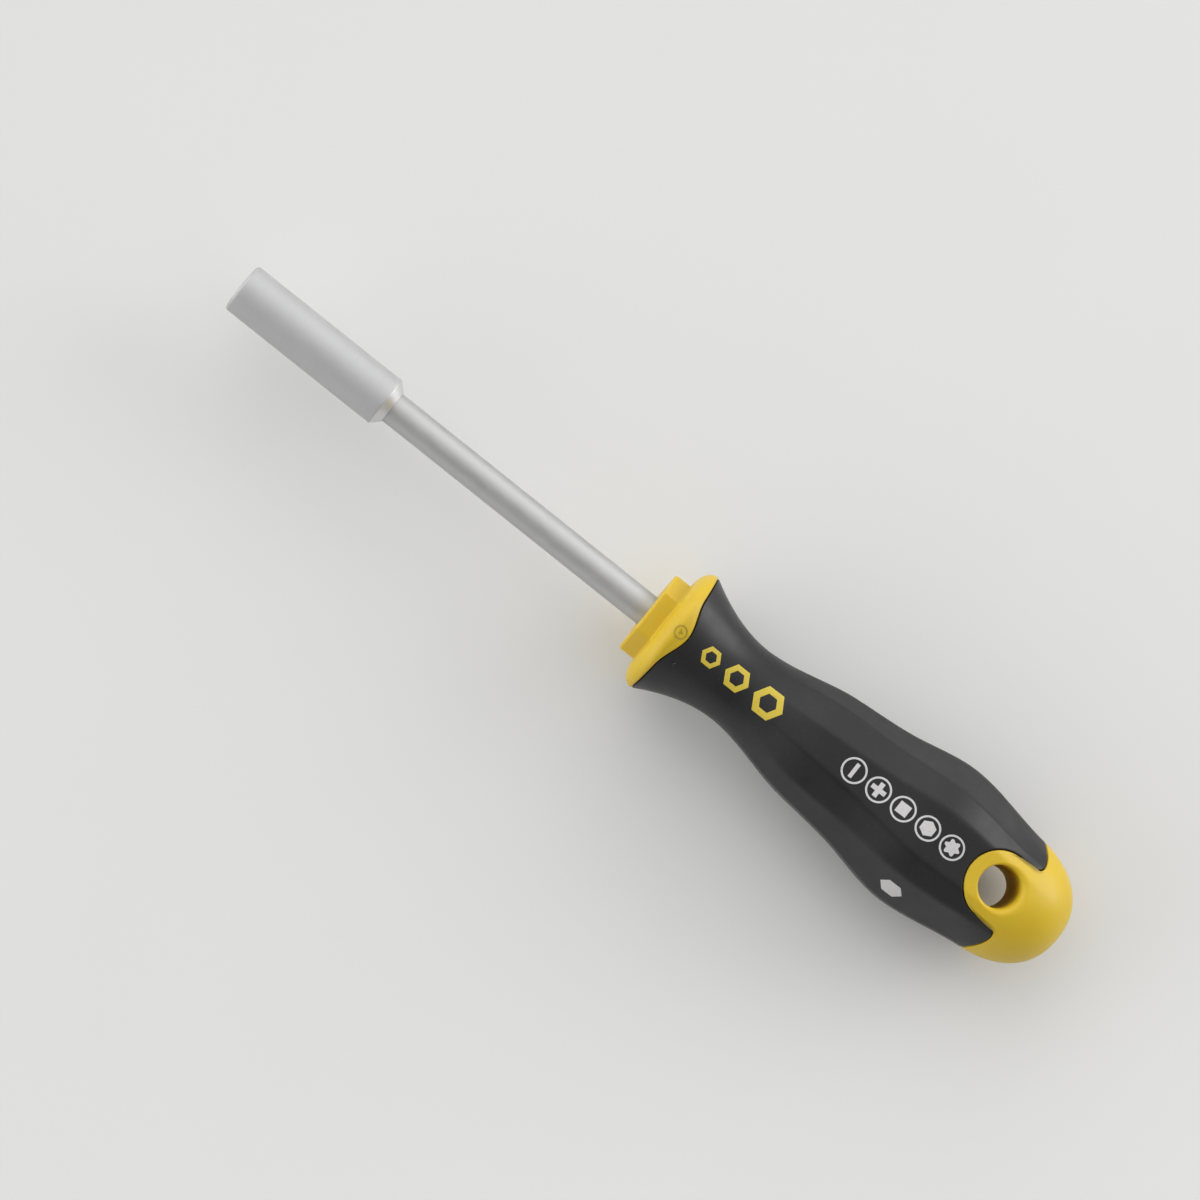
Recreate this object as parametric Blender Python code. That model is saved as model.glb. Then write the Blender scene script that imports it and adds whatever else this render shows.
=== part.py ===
"""Bit-holder screwdriver: a moulded two-colour handle, a round steel blade and a magnetic hex socket.

The tool lies along X with its socket at +X. The origin is the middle of the bit seat, which is the
front face of the magnet, and Z is the axis of the hanging hole through the end of the handle.
Stations on the handle are counted backwards from the front face of its hexagonal collar.
"""

import math

import bmesh
import bpy

MM = 0.001

# Gaps kept between pieces that touch
MOULD_GAP = 0.30 * MM
STEEL_GAP = 0.15 * MM

# Socket, magnet and retaining ring
BIT_FLATS = 6.35 * MM
BIT_CLEARANCE = 0.10 * MM
SOCKET_DEPTH = 14.0 * MM
LEAD_IN = 0.30 * MM
MAGNET_MARGIN = 0.20 * MM
MAGNET_LENGTH = 6.0 * MM
MAGNET_PROUD = 0.10 * MM
MAGNET_EDGE = 0.25 * MM
RING_WIRE = 0.70 * MM
RING_BITE = 0.30 * MM
RING_SETBACK = 4.0 * MM
RING_OPENING = math.radians(40)
GROOVE_PLAY = 0.15 * MM

# Sleeve and blade
SLEEVE_WALL = 1.48 * MM
SLEEVE_LENGTH = 37.2 * MM
NOSE_ROUND = 0.70 * MM
TAIL_CONE = 1.80 * MM
TAIL_LIP = 0.15 * MM
BLADE_LENGTH = 100.0 * MM
BLADE_DIAMETER = 6.5 * MM
BLADE_EDGE = 0.40 * MM
TANG_COVER = 5.0 * MM
WING_SPAN = 10.0 * MM
WING_THICKNESS = 4.2 * MM
WING_LENGTH = 7.0 * MM
WING_RAMP = 2.0 * MM
WING_SPACING = 3.0 * MM

# Collar and flange at the front of the handle
COLLAR_FLATS = 15.6 * MM
COLLAR_LENGTH = 3.7 * MM
COLLAR_EDGE = 0.50 * MM
FLANGE_STEP = 0.60 * MM
FLANGE_ROUND = 2.9 * MM
FLANGE_DIAMETER = 27.2 * MM
FLANGE_FALL = 0.56

# Handle outline: diameters, slopes and the lengths between them
NECK_DIAMETER = 17.2 * MM
WAIST_DIAMETER = 23.4 * MM
WAIST_RISE = 0.125
SWELL_DIAMETER = 27.0 * MM
SWELL_RISE = 0.20
BELLY_DIAMETER = 31.2 * MM
TAIL_DIAMETER = 26.1 * MM
FLANGE_TO_NECK = 16.1 * MM
NECK_TO_WAIST = 18.3 * MM
WAIST_TO_SWELL = 15.5 * MM
SWELL_TO_BELLY = 12.5 * MM
BELLY_TO_TAIL = 18.3 * MM
TAIL_TO_END = 14.0 * MM
DOME_LEAD = 3.3 * MM
DOME_POWER = 2.3

# Six panels round the grip with bevels between them
PANELS = 6
WAIST_PANEL = math.radians(15)
BELLY_PANEL = math.radians(20.5)
PANEL_SHARPNESS = 100
PANEL_FADE = 7.0 * MM

# Soft grip and its edges
GRIP_THICKNESS = 2.2 * MM
FRONT_LAND = 0.45 * MM
FRONT_WAVE = 0.4 * MM
FRONT_TONGUE = 1.65 * MM
FRONT_TONGUE_ANGLE = math.radians(36)
EAR_MARGIN = 2.9 * MM
TONGUE_REACH = 5.0 * MM
TONGUE_ROUND = 1.5 * MM
FLANK_DIP = 2.3 * MM

# Hanging hole
HOLE_DIAMETER = 8.4 * MM
HOLE_SETBACK = 16.3 * MM
HOLE_WALL = 6.5 * MM

# Inner core
CORE_SETBACK = 9.0 * MM
CORE_WALL = 1.3 * MM
CORE_EDGE = 1.5 * MM
FLUTES = 6
FLUTE_DEPTH = 0.8 * MM

# Mesh fineness
EAR_STEPS = 5
TONGUE_STEPS = 2
FLANK_STEPS = 3
GRIP_STEPS = 15
BELLY_SHARE = 0.8
SLEEVE_SIDES = 40
BLADE_SIDES = 28
CORE_SIDES = 36

# Values that follow from the sizes above
SOCKET_FLATS = BIT_FLATS + BIT_CLEARANCE
SOCKET_CORNER = SOCKET_FLATS / 2 / math.cos(math.radians(30))
SLEEVE_RADIUS = SOCKET_CORNER + SLEEVE_WALL
MAGNET_RADIUS = SOCKET_FLATS / 2 - MAGNET_MARGIN
RING_INNER = SOCKET_CORNER - RING_BITE
RING_RADIUS = RING_INNER + RING_WIRE / 2
BLADE_RADIUS = BLADE_DIAMETER / 2
BLADE_FRONT = -MAGNET_LENGTH - STEEL_GAP
COLLAR_FACE = SOCKET_DEPTH - BLADE_LENGTH
COLLAR_CORNER = COLLAR_FLATS / 2 / math.cos(math.radians(30))
FLANGE_AT = COLLAR_LENGTH + FLANGE_ROUND
NECK_AT = FLANGE_AT + FLANGE_TO_NECK
WAIST_AT = NECK_AT + NECK_TO_WAIST
SWELL_AT = WAIST_AT + WAIST_TO_SWELL
BELLY_AT = SWELL_AT + SWELL_TO_BELLY
TAIL_AT = BELLY_AT + BELLY_TO_TAIL
END_AT = TAIL_AT + TAIL_TO_END
HOLE_AT = END_AT - HOLE_SETBACK
EAR_RADIUS = HOLE_DIAMETER / 2 + EAR_MARGIN
TONGUE_AT = HOLE_AT + TONGUE_REACH
CORE_END = HOLE_AT - HOLE_DIAMETER / 2 - HOLE_WALL
TANG_END = CORE_END - TANG_COVER
CORE_INSET = GRIP_THICKNESS + CORE_WALL + 2 * MOULD_GAP


def ease(low, high, value):
    """A smooth step from 0 at low to 1 at high."""
    share = min(1.0, max(0.0, (value - low) / (high - low)))
    return share * share * (3 - 2 * share)


def dome_curve(station):
    """Radius and slope of the rounded end, a superellipse that closes at the end of the handle."""
    length = DOME_LEAD + TAIL_TO_END
    start = DOME_LEAD / length
    width = TAIL_DIAMETER / 2 / (1 - start ** DOME_POWER) ** (1 / DOME_POWER)
    share = min(1.0, (station - TAIL_AT + DOME_LEAD) / length)
    rest = max(1e-9, 1 - share ** DOME_POWER)
    radius = width * rest ** (1 / DOME_POWER)
    slope = -width / length * share ** (DOME_POWER - 1) * rest ** (1 / DOME_POWER - 1)
    return radius, slope


def handle_radius(station):
    """Radius of the handle's outline, a smooth curve through its named diameters."""
    if station >= TAIL_AT:
        return dome_curve(station)[0]
    knots = (
        (FLANGE_AT, FLANGE_DIAMETER / 2, -FLANGE_FALL),
        (NECK_AT, NECK_DIAMETER / 2, 0.0),
        (WAIST_AT, WAIST_DIAMETER / 2, WAIST_RISE),
        (SWELL_AT, SWELL_DIAMETER / 2, SWELL_RISE),
        (BELLY_AT, BELLY_DIAMETER / 2, 0.0),
        (TAIL_AT, TAIL_DIAMETER / 2, dome_curve(TAIL_AT)[1]),
    )
    for (low, low_radius, low_slope), (high, high_radius, high_slope) in zip(knots, knots[1:]):
        if station <= high:
            span = high - low
            u = max(0.0, (station - low) / span)
            blend = u * u * (3 - 2 * u)
            lead = span * u * (1 - u) ** 2 * low_slope
            tail = span * u * u * (u - 1) * high_slope
            return low_radius + (high_radius - low_radius) * blend + lead + tail
    return TAIL_DIAMETER / 2


def panel_share(station):
    """How strongly the panels show: none at the neck, full on the belly, none on the rounded end."""
    return ease(NECK_AT, WAIST_AT, station) * (1 - ease(TAIL_AT - PANEL_FADE, TAIL_AT + PANEL_FADE, station))


def skin_radius(station, angle):
    """Outer radius of the handle at an angle from +Z towards +Y, with the bevels on its outline."""
    sector = 2 * math.pi / PANELS
    half = WAIST_PANEL + (BELLY_PANEL - WAIST_PANEL) * ease(WAIST_AT, BELLY_AT, station)
    depth = math.cos(half) / math.cos(sector / 2 - half)
    off_panel = (angle + sector / 2) % sector - sector / 2
    off_bevel = angle % sector - sector / 2
    reach = (math.cos(off_panel) / depth) ** PANEL_SHARPNESS + math.cos(off_bevel) ** PANEL_SHARPNESS
    return handle_radius(station) * (1 + panel_share(station) * (reach ** (-1 / PANEL_SHARPNESS) - 1))


def core_radius(station, angle):
    """Outer radius of the inner core, inset from the outline and fluted behind the neck."""
    flute = FLUTE_DEPTH * ease(NECK_AT, SWELL_AT, station) * (0.5 - 0.5 * math.cos(FLUTES * angle))
    return handle_radius(station) - CORE_INSET - flute


def collar_radius(angle):
    """Radius of the hexagonal collar, with a flat on top."""
    sector = math.radians(60)
    off_flat = (angle + sector / 2) % sector - sector / 2
    return COLLAR_FLATS / 2 / math.cos(off_flat)


def edge_angle(side, station):
    """The angle at which the handle's skin lies this far to the side of its middle plane."""
    angle = 0.0
    for _ in range(8):
        angle = math.asin(min(1.0, side / skin_radius(station, angle)))
    return angle


def rear_outline():
    """Rear edge of the soft grip from the top to the side, as angle and station pairs."""
    points = []
    for step in range(EAR_STEPS + 1):
        turn = math.pi / 2 * step / EAR_STEPS
        station = HOLE_AT - EAR_RADIUS * math.cos(turn)
        points.append((edge_angle(EAR_RADIUS * math.sin(turn), station), station))
    for step in range(TONGUE_STEPS + 1):
        turn = math.pi / 2 * step / TONGUE_STEPS
        station = TONGUE_AT - TONGUE_ROUND * (1 - math.sin(turn))
        side = EAR_RADIUS + TONGUE_ROUND * (1 - math.cos(turn))
        points.append((edge_angle(side, station), station))
    tip_angle = points[-1][0]
    for step in range(1, FLANK_STEPS + 1):
        share = step / FLANK_STEPS
        angle = tip_angle + (math.pi / 2 - tip_angle) * share
        points.append((angle, TONGUE_AT - FLANK_DIP * ease(0, 1, share)))
    return points


OUTLINE = rear_outline()


def fold(angle):
    """The same place on the quarter from the top to the side."""
    turned = abs((angle + math.pi) % (2 * math.pi) - math.pi)
    return min(turned, math.pi - turned)


def grip_rear(angle):
    """Station of the soft grip's rear edge, which goes round the hole's ear."""
    place = fold(angle)
    for (low, low_at), (high, high_at) in zip(OUTLINE, OUTLINE[1:]):
        if place <= high:
            return low_at + (high_at - low_at) * max(0.0, place - low) / (high - low)
    return OUTLINE[-1][1]


def grip_front(angle):
    """Station of the soft grip's front edge, pushed back by a tongue of the shell above and below."""
    reach = min(1.0, fold(angle) / FRONT_TONGUE_ANGLE)
    tongue = FRONT_TONGUE * (0.5 + 0.5 * math.cos(math.pi * reach))
    return FLANGE_AT + FRONT_LAND + FRONT_WAVE * math.cos(angle) ** 2 + tongue


def handle_angles():
    """Angles round the handle: the points of the grip's rear edge, the collar's and the panels' corners."""
    quarter = {angle for angle, _ in OUTLINE}
    quarter.add(math.radians(30))
    for half in (WAIST_PANEL, BELLY_PANEL):
        quarter.update(fold(2 * math.pi / PANELS * panel + half) for panel in range(PANELS))
    half = quarter | {math.pi - angle for angle in quarter}
    whole = half | {-angle for angle in half}
    ordered = sorted(whole)
    angles = [ordered[0]]
    for angle in ordered[1:]:
        if angle - angles[-1] > math.radians(0.6):
            angles.append(angle)
    if angles[-1] - angles[0] > 2 * math.pi - math.radians(0.6):
        angles.pop()
    return angles


ANGLES = handle_angles()


def even_angles(count):
    """Evenly spaced angles of a full turn."""
    return [2 * math.pi * step / count for step in range(count)]


def lerp(low, high, share):
    """The value this share of the way from low to high."""
    return low + (high - low) * share


def along_grip(front, rear, share):
    """Station this share of the way along the grip, with the belly at the same share all round."""
    if share <= BELLY_SHARE:
        return lerp(front, BELLY_AT, share / BELLY_SHARE)
    return lerp(BELLY_AT, rear, (share - BELLY_SHARE) / (1 - BELLY_SHARE))


def finish(name, bm, material, place):
    """Makes the named object from its mesh, shaded smooth with its real edges sharp."""
    bmesh.ops.recalc_face_normals(bm, faces=bm.faces)
    mesh = bpy.data.meshes.new(name)
    bm.to_mesh(mesh)
    bm.free()
    mesh.shade_smooth()
    mesh.set_sharp_from_angle(angle=math.radians(32))
    obj = bpy.data.objects.new(name, mesh)
    bpy.context.scene.collection.objects.link(obj)
    obj.location = place
    if material is not None:
        mesh.materials.append(material)
    return obj


def material(name, colour, roughness, metallic):
    """A plain Principled material."""
    made = bpy.data.materials.new(name)
    made.use_nodes = True
    shader = made.node_tree.nodes["Principled BSDF"]
    shader.inputs["Base Color"].default_value = (*colour, 1.0)
    shader.inputs["Roughness"].default_value = roughness
    shader.inputs["Metallic"].default_value = metallic
    return made


def loft(rings, first=None, last=None):
    """A skin through rings of points, closed by a fan to a point at each end that has one."""
    bm = bmesh.new()
    loops = [[bm.verts.new(point) for point in ring] for ring in rings]
    if first is None and last is None:
        loops.append(loops[0])
    for low, high in zip(loops, loops[1:]):
        for at in range(len(low)):
            after = (at + 1) % len(low)
            bm.faces.new((low[at], low[after], high[after], high[at]))
    for tip, loop in ((first, loops[0]), (last, loops[-1])):
        if tip is not None:
            point = bm.verts.new(tip)
            for at in range(len(loop)):
                bm.faces.new((loop[at], loop[(at + 1) % len(loop)], point))
    return bm


def turned(profile, sides):
    """A closed profile of x and radius pairs spun about the tool's axis."""
    bm = bmesh.new()
    points = [bm.verts.new((x, 0, radius)) for x, radius in profile]
    edges = [bm.edges.new((low, high)) for low, high in zip(points, points[1:] + points[:1])]
    bmesh.ops.spin(bm, geom=points + edges, cent=(0, 0, 0), axis=(1, 0, 0),
                   angle=2 * math.pi, steps=sides, use_merge=True)
    return bm


def cut(target, name, bm, place):
    """Cuts the mesh's volume out of the target with a live Boolean."""
    cutter = finish(name, bm, None, place)
    cutter.hide_render = True
    cutter.display_type = "WIRE"
    cutter.parent = target.parent
    modifier = target.modifiers.new(name, "BOOLEAN")
    modifier.operation = "DIFFERENCE"
    modifier.solver = "EXACT"
    modifier.object = cutter


def ring_at(angles, station_of, radius_of):
    """Points round the handle whose station and radius are functions of the angle."""
    points = []
    for angle in angles:
        radius = radius_of(angle)
        points.append((-station_of(angle), radius * math.sin(angle), radius * math.cos(angle)))
    return points


def flat_ring(angles, station, radius):
    """A round ring of points at one station."""
    return ring_at(angles, lambda angle: station, lambda angle: radius)


def tang_sections():
    """Stations and half-axes of the tang: the round bar and two flattened wings set crosswise."""
    wide, thin = WING_SPAN / 2, WING_THICKNESS / 2
    rear_end = TANG_END - WING_SPACING - WING_RAMP
    front_end = rear_end - WING_LENGTH - 2 * WING_RAMP - WING_SPACING
    sections = []
    for back, half_y, half_z in ((front_end, wide, thin), (rear_end, thin, wide)):
        front = back - WING_LENGTH
        sections.append((front - WING_RAMP, BLADE_RADIUS, BLADE_RADIUS))
        sections.append((front, half_y, half_z))
        sections.append((back, half_y, half_z))
        sections.append((back + WING_RAMP, BLADE_RADIUS, BLADE_RADIUS))
    return sections


def tang_rings(angles, growth):
    """Rings of the tang's wings, grown on all sides."""
    rings = []
    for station, half_y, half_z in tang_sections():
        wide, tall = half_y + growth, half_z + growth
        rings.append([(-station, wide * math.sin(a), tall * math.cos(a)) for a in angles])
    return rings


def build_shell(paint, frame):
    """Hard handle shell: hexagonal collar, flange, the bed under the grip and the end with its hole."""
    bed = GRIP_THICKNESS + MOULD_GAP
    bore = BLADE_RADIUS + MOULD_GAP
    rings = []
    rear = CORE_END + MOULD_GAP
    core_front = CORE_SETBACK - MOULD_GAP
    edge = CORE_END - CORE_EDGE
    rings.append(ring_at(ANGLES, lambda a: rear, lambda a: core_radius(edge, a) - CORE_EDGE + MOULD_GAP))
    for step in range(8):
        station = lerp(edge, CORE_SETBACK, step / 7)
        rings.append(ring_at(ANGLES, lambda a, s=station: s,
                             lambda a, s=station: core_radius(s, a) + MOULD_GAP))
    rings.append(ring_at(ANGLES, lambda a: core_front, lambda a: core_radius(CORE_SETBACK, a) + MOULD_GAP))
    rings.append(flat_ring(ANGLES, core_front, bore))
    rings.append(flat_ring(ANGLES, 0.0, bore))
    rings.append(ring_at(ANGLES, lambda a: 0.0, lambda a: collar_radius(a) - COLLAR_EDGE))
    rings.append(ring_at(ANGLES, lambda a: COLLAR_EDGE, collar_radius))
    rings.append(ring_at(ANGLES, lambda a: COLLAR_LENGTH, collar_radius))
    face = COLLAR_CORNER + FLANGE_STEP
    for step in range(5):
        turn = math.pi / 2 * step / 4
        station = COLLAR_LENGTH + FLANGE_ROUND * (1 - math.cos(turn))
        rings.append(flat_ring(ANGLES, station, lerp(face, FLANGE_DIAMETER / 2, math.sin(turn))))

    def front(angle):
        return grip_front(angle) - MOULD_GAP

    def back(angle):
        return grip_rear(angle) + MOULD_GAP

    rings.append(ring_at(ANGLES, front, lambda a: skin_radius(front(a), a)))
    for step in range(GRIP_STEPS + 1):
        share = step / GRIP_STEPS
        rings.append(ring_at(ANGLES, lambda a, w=share: along_grip(front(a), back(a), w),
                             lambda a, w=share: skin_radius(along_grip(front(a), back(a), w), a) - bed))
    for step in range(8):
        share = math.sin(math.pi / 2 * step / 8)
        rings.append(ring_at(ANGLES, lambda a, w=share: lerp(back(a), END_AT, w),
                             lambda a, w=share: skin_radius(lerp(back(a), END_AT, w), a)))
    bm = loft(rings, first=(-rear, 0, 0), last=(-END_AT, 0, 0))
    shell = finish("handle_shell", bm, paint, (COLLAR_FACE, 0, 0))
    shell.parent = frame
    hole = bmesh.new()
    bmesh.ops.create_cone(hole, cap_ends=True, segments=32, radius1=HOLE_DIAMETER / 2,
                          radius2=HOLE_DIAMETER / 2, depth=2 * BELLY_DIAMETER)
    cut(shell, "hanging_hole_cutter", hole, (COLLAR_FACE - HOLE_AT, 0, 0))


def build_core(paint, frame):
    """Fluted inner core moulded round the tang."""
    angles = even_angles(CORE_SIDES)
    bore = BLADE_RADIUS + MOULD_GAP
    edge = CORE_END - CORE_EDGE
    rings = [flat_ring(angles, TANG_END + MOULD_GAP, bore)]
    rings.extend(reversed(tang_rings(angles, MOULD_GAP)))
    rings.append(flat_ring(angles, CORE_SETBACK, bore))
    for step in range(8):
        station = lerp(CORE_SETBACK, edge, step / 7)
        rings.append(ring_at(angles, lambda a, s=station: s, lambda a, s=station: core_radius(s, a)))
    rings.append(ring_at(angles, lambda a: CORE_END, lambda a: core_radius(edge, a) - CORE_EDGE))
    bm = loft(rings, first=(-TANG_END - MOULD_GAP, 0, 0), last=(-CORE_END, 0, 0))
    finish("inner_core", bm, paint, (COLLAR_FACE, 0, 0)).parent = frame


def build_grip(paint, frame):
    """Soft grip: a faceted sleeve with a waved front edge and tongues round the hole at the rear."""
    shares = [step / GRIP_STEPS for step in range(GRIP_STEPS + 1)]

    def station(angle, share):
        return along_grip(grip_front(angle), grip_rear(angle), share)

    rings = []
    for share in shares:
        rings.append(ring_at(ANGLES, lambda a, w=share: station(a, w),
                             lambda a, w=share: skin_radius(station(a, w), a)))
    for share in reversed(shares):
        rings.append(ring_at(ANGLES, lambda a, w=share: station(a, w),
                             lambda a, w=share: skin_radius(station(a, w), a) - GRIP_THICKNESS))
    finish("soft_grip", loft(rings), paint, (COLLAR_FACE, 0, 0)).parent = frame


def build_blade(paint, frame):
    """Round blade from the magnet to the tang, with two crosswise wings inside the core."""
    angles = even_angles(BLADE_SIDES)
    front = COLLAR_FACE - BLADE_FRONT
    rings = [
        flat_ring(angles, front, BLADE_RADIUS - BLADE_EDGE),
        flat_ring(angles, front + BLADE_EDGE, BLADE_RADIUS),
        flat_ring(angles, 0.0, BLADE_RADIUS),
    ]
    rings.extend(tang_rings(angles, 0.0))
    rings.append(flat_ring(angles, TANG_END - BLADE_EDGE, BLADE_RADIUS))
    rings.append(flat_ring(angles, TANG_END, BLADE_RADIUS - BLADE_EDGE))
    bm = loft(rings, first=(-front, 0, 0), last=(-TANG_END, 0, 0))
    finish("blade", bm, paint, (COLLAR_FACE, 0, 0)).parent = frame


def build_sleeve(paint, frame):
    """Steel sleeve: hex socket with a ring groove, magnet pocket and the bore for the blade."""
    pocket = MAGNET_RADIUS + STEEL_GAP
    bore = BLADE_RADIUS + STEEL_GAP
    groove = RING_INNER + RING_WIRE + GROOVE_PLAY
    groove_half = RING_WIRE / 2 + GROOVE_PLAY
    tail = SOCKET_DEPTH - SLEEVE_LENGTH
    ring_at_x = SOCKET_DEPTH - RING_SETBACK
    lead = SOCKET_CORNER + LEAD_IN
    profile = []
    for step in range(4):
        turn = math.pi / 2 * step / 3
        profile.append((SOCKET_DEPTH - NOSE_ROUND * (1 - math.sin(turn)),
                        SLEEVE_RADIUS - NOSE_ROUND * (1 - math.cos(turn))))
    profile += [
        (SOCKET_DEPTH, lead),
        (SOCKET_DEPTH - (lead - pocket), pocket),
        (ring_at_x + groove_half, pocket),
        (ring_at_x + groove_half, groove),
        (ring_at_x - groove_half, groove),
        (ring_at_x - groove_half, pocket),
        (BLADE_FRONT, pocket),
        (BLADE_FRONT, bore),
        (tail, bore),
        (tail, bore + TAIL_LIP),
        (tail + TAIL_CONE, SLEEVE_RADIUS),
    ]
    sleeve = finish("bit_sleeve", turned(profile, SLEEVE_SIDES), paint, (0, 0, 0))
    sleeve.parent = frame
    low, high = -MAGNET_PROUD, SOCKET_DEPTH + SLEEVE_WALL
    corners = [math.radians(30 + 60 * step) for step in range(6)]
    ends = []
    for x in (low, high):
        ends.append([(x, SOCKET_CORNER * math.sin(a), SOCKET_CORNER * math.cos(a)) for a in corners])
    cut(sleeve, "socket_cutter", loft(ends, first=(low, 0, 0), last=(high, 0, 0)), (0, 0, 0))


def build_magnet(paint, frame):
    """Round magnet that holds the bit and forms its seat."""
    profile = (
        (0.0, MAGNET_RADIUS - MAGNET_EDGE),
        (-MAGNET_EDGE, MAGNET_RADIUS),
        (MAGNET_EDGE - MAGNET_LENGTH, MAGNET_RADIUS),
        (-MAGNET_LENGTH, MAGNET_RADIUS - MAGNET_EDGE),
    )
    angles = even_angles(BLADE_SIDES)
    rings = [flat_ring(angles, -x, radius) for x, radius in profile]
    bm = loft(rings, first=(0, 0, 0), last=(-MAGNET_LENGTH, 0, 0))
    finish("seat_magnet", bm, paint, (0, 0, 0)).parent = frame


def build_ring(paint, frame):
    """Split wire ring, loose in its groove, that snaps over the corners of a bit."""
    steps = 28
    curve = bpy.data.curves.new("retaining_ring", "CURVE")
    curve.dimensions = "3D"
    curve.bevel_depth = RING_WIRE / 2
    curve.bevel_resolution = 1
    curve.use_fill_caps = True
    spline = curve.splines.new("POLY")
    spline.points.add(steps)
    for step, point in enumerate(spline.points):
        angle = RING_OPENING / 2 + (2 * math.pi - RING_OPENING) * step / steps
        point.co = (0, RING_RADIUS * math.sin(angle), RING_RADIUS * math.cos(angle), 1)
    spline.use_smooth = True
    curve.materials.append(paint)
    ring = bpy.data.objects.new("retaining_ring", curve)
    bpy.context.scene.collection.objects.link(ring)
    ring.location = (SOCKET_DEPTH - RING_SETBACK, 0, 0)
    ring.parent = frame


def build():
    """Clears the scene and builds every piece of the tool."""
    for obj in list(bpy.data.objects):
        bpy.data.objects.remove(obj, do_unlink=True)
    frame = bpy.data.objects.new("tool_axis", None)
    bpy.context.scene.collection.objects.link(frame)
    yellow = material("yellow_hard_plastic", (0.72, 0.50, 0.03), 0.38, 0.0)
    black = material("black_soft_plastic", (0.032, 0.032, 0.034), 0.62, 0.0)
    natural = material("grey_core_plastic", (0.30, 0.30, 0.31), 0.55, 0.0)
    satin = material("satin_chromed_steel", (0.66, 0.66, 0.66), 0.32, 1.0)
    bright = material("blade_steel", (0.70, 0.70, 0.70), 0.26, 1.0)
    nickel = material("nickel_magnet", (0.55, 0.54, 0.52), 0.30, 1.0)
    spring = material("spring_wire", (0.42, 0.42, 0.43), 0.35, 1.0)
    build_shell(yellow, frame)
    build_core(natural, frame)
    build_grip(black, frame)
    build_blade(bright, frame)
    build_sleeve(satin, frame)
    build_magnet(nickel, frame)
    build_ring(spring, frame)


build()
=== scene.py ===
"""Looks of the bit holder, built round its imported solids.

Every surface is a numpy grid: a function of two parameters, or a profile carried round the tool's axis.
Stations are counted backwards along the handle from the front face of its hexagonal collar, and angles
are turned from +Z, where the hanging hole opens, towards +Y. Lengths are in metres.
"""

import math

import bmesh
import bpy
import numpy as np
from mathutils import Matrix, Vector


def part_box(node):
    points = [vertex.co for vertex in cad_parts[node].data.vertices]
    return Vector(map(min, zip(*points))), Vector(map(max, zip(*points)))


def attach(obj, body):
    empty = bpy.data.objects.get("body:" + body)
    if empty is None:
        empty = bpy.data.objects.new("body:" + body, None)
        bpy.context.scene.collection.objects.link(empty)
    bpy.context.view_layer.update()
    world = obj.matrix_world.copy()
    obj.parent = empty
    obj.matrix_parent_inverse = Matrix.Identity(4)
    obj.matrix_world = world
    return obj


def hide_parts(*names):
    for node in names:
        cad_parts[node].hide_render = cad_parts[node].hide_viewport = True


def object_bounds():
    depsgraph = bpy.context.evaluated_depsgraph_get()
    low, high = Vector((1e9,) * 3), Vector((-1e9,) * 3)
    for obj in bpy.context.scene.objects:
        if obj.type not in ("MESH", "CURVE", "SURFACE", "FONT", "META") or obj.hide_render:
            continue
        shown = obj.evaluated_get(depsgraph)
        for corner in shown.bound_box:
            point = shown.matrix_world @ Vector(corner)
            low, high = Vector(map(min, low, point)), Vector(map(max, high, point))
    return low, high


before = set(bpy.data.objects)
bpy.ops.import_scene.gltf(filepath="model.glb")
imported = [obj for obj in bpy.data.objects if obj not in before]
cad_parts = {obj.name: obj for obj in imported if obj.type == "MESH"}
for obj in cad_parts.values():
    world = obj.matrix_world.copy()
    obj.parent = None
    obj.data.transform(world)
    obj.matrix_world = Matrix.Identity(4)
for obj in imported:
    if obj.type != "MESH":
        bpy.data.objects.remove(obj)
CAD_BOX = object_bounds()

MM = 0.001
TAU = 2 * math.pi
QUARTER = math.pi / 2

# Sizes of the handle, the same as those of its solids
COLLAR_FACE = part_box("handle_shell")[1].x
COLLAR_FLATS = 15.6 * MM
COLLAR_LENGTH = 3.7 * MM
FLANGE_FACE = 9.6 * MM
FLANGE_RADIUS = 13.6 * MM
FLANGE_ROUND = 2.9 * MM
FLANGE_FALL = 0.56
NECK_RADIUS = 8.6 * MM
WAIST_RADIUS = 11.7 * MM
WAIST_RISE = 0.125
SWELL_RADIUS = 13.5 * MM
SWELL_RISE = 0.20
BELLY_RADIUS = 15.6 * MM
TAIL_RADIUS = 13.05 * MM
FLANGE_AT = COLLAR_LENGTH + FLANGE_ROUND
NECK_AT = FLANGE_AT + 16.1 * MM
WAIST_AT = NECK_AT + 18.3 * MM
SWELL_AT = WAIST_AT + 15.5 * MM
BELLY_AT = SWELL_AT + 12.5 * MM
TAIL_AT = BELLY_AT + 18.3 * MM
END_AT = TAIL_AT + 14.0 * MM
DOME_LEAD = 3.3 * MM
DOME_POWER = 2.3
PANELS = 6
WAIST_PANEL = math.radians(15)
BELLY_PANEL = math.radians(20.5)
PANEL_SHARPNESS = 100.0
PANEL_FADE = 7.0 * MM
GRIP_THICKNESS = 2.2 * MM
HOLE_RADIUS = 4.2 * MM
HOLE_AT = END_AT - 16.3 * MM
EAR_RADIUS = 7.1 * MM
TONGUE_AT = HOLE_AT + 5.0 * MM
TONGUE_ROUND = 1.5 * MM
FLANK_DIP = 2.3 * MM
CORE_SETBACK = 9.0 * MM
CORE_END = HOLE_AT - HOLE_RADIUS - 6.5 * MM
CORE_EDGE = 1.5 * MM
CORE_INSET = 4.1 * MM
FLUTES = 6
FLUTE_DEPTH = 0.8 * MM
MOULD_GAP = 0.3 * MM

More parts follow.
